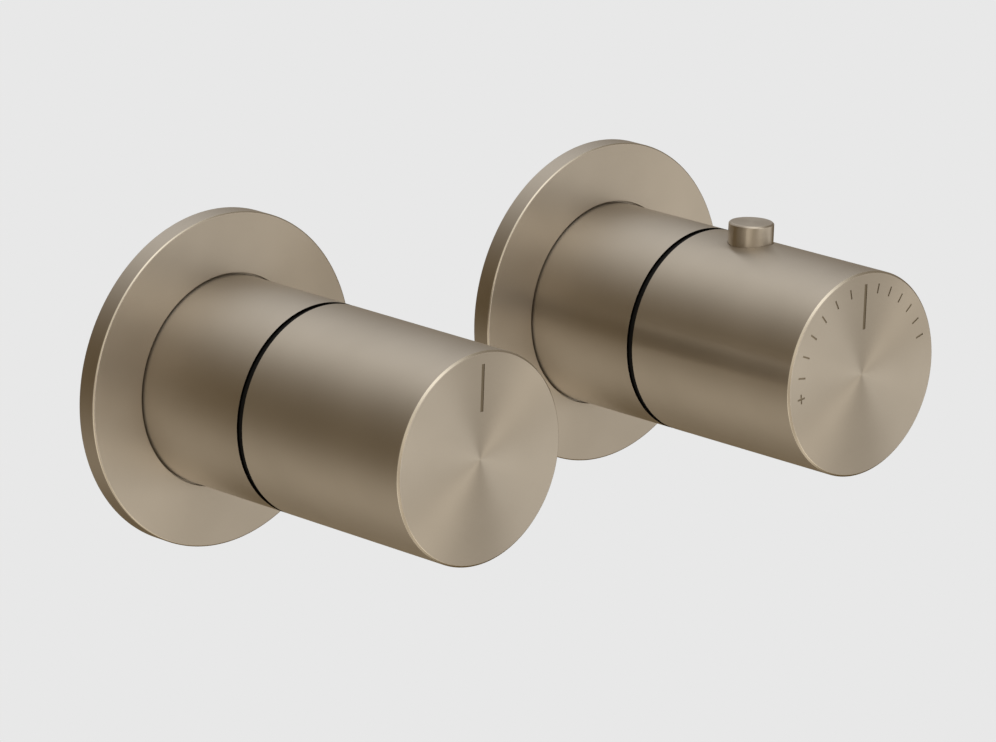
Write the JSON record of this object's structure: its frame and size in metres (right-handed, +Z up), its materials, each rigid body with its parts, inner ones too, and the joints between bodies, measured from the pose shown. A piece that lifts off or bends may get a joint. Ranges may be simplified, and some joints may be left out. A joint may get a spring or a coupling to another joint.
{
  "type": "thermostatic shower valve",
  "caption": "Thermostatic shower valve: a round temperature knob with a safety button beside a round flow knob, each on a necked wall rosette.",
  "frame": {"origin": "on the finished wall, on the axis of the temperature unit", "axes": "+Y into the wall, +Z up, +X to the right as seen from the room; the knobs point along -Y"},
  "size_m": [0.205, 0.0993, 0.08],
  "materials": {
    "brushed_nickel": "satin",
    "black_plastic": "matte",
    "brass": "machined",
    "stainless": "machined",
    "spring_steel": "drawn wire",
    "seal_rubber": "matte",
    "gasket_foam": "matte",
    "white_plastic": "satin",
    "grey_plastic": "satin",
    "copper": "machined",
    "ceramic": "lapped",
    "fibre": "matte"
  },
  "bodies": {
    "wall_side": {"temp_rosette": "brushed_nickel", "temp_wall_gasket": "gasket_foam", "temp_neck_sleeve": "brushed_nickel", "temp_sleeve_orings": "seal_rubber", "temp_glide_ring": "black_plastic", "temp_block": "brass", "temp_port_seals": "seal_rubber", "temp_mounting_screws": "stainless", "cartridge_body": "grey_plastic", "cartridge_orings": "seal_rubber", "inlet_strainers": "stainless", "cartridge_nut": "brass", "cartridge_bonnet": "brass", "return_spring": "spring_steel", "stop_ring": "black_plastic", "flow_rosette": "brushed_nickel", "flow_wall_gasket": "gasket_foam", "flow_neck_sleeve": "brushed_nickel", "flow_sleeve_orings": "seal_rubber", "flow_glide_ring": "black_plastic", "flow_block": "brass", "flow_port_seals": "seal_rubber", "flow_mounting_screws": "stainless", "headwork_body": "brass", "headwork_gasket": "fibre", "fixed_disc": "ceramic", "seat_seal": "seal_rubber", "stop_washer": "stainless"},
    "temp_control": {"temp_knob": "brushed_nickel", "temp_grub_screw": "stainless", "temp_spline_adapter": "white_plastic", "temp_adapter_screw": "stainless", "temp_spindle": "brass", "temp_spindle_orings": "seal_rubber", "temp_circlip": "stainless", "button_guide": "black_plastic", "button_spring": "spring_steel"},
    "button": {"safety_button": "brushed_nickel", "button_catch": "stainless"},
    "feed": {"feed_nut": "brass", "overtravel_spring": "spring_steel", "spring_cup": "stainless", "spring_retainer": "stainless", "wax_rod": "stainless"},
    "thermostat": {"wax_element": "copper", "shuttle": "brass", "shuttle_seal": "seal_rubber"},
    "flow_control": {"flow_knob": "brushed_nickel", "flow_grub_screw": "stainless", "flow_spline_adapter": "white_plastic", "flow_adapter_screw": "stainless", "flow_spindle": "brass", "flow_spindle_orings": "seal_rubber", "flow_circlip": "stainless", "rotating_disc": "ceramic"}
  },
  "joints": [
    {"name": "temp_turn", "type": "hinge", "parent": "wall_side", "child": "temp_control", "pos_m": [0, -0.06, 0], "axis": [0, -1, 0], "range_deg": [-72, 98]},
    {"name": "button_press", "type": "slide", "parent": "temp_control", "child": "button", "axis": [0, 0, -1], "range_m": [0, 0.0025], "stiffness_N_per_m": 600, "springref_m": -0.002, "deforming": ["button_spring"]},
    {"name": "feed_slide", "type": "slide", "parent": "wall_side", "child": "feed", "axis": [0, 1, 0], "range_m": [-0.0011, 0.0014], "deforming": ["return_spring"]},
    {"name": "wax_stroke", "type": "slide", "parent": "feed", "child": "thermostat", "axis": [0, 1, 0], "range_m": [0, 0.001], "stiffness_N_per_m": 800, "springref_m": -0.002, "deforming": ["return_spring"]},
    {"name": "flow_turn", "type": "hinge", "parent": "wall_side", "child": "flow_control", "pos_m": [-0.125, -0.06, 0], "axis": [0, -1, 0], "range_deg": [0, 90]}
  ],
  "couplings": [
    {"joint": "feed_slide", "follows": "temp_turn", "m_per_rad": 0.00079577}
  ]
}
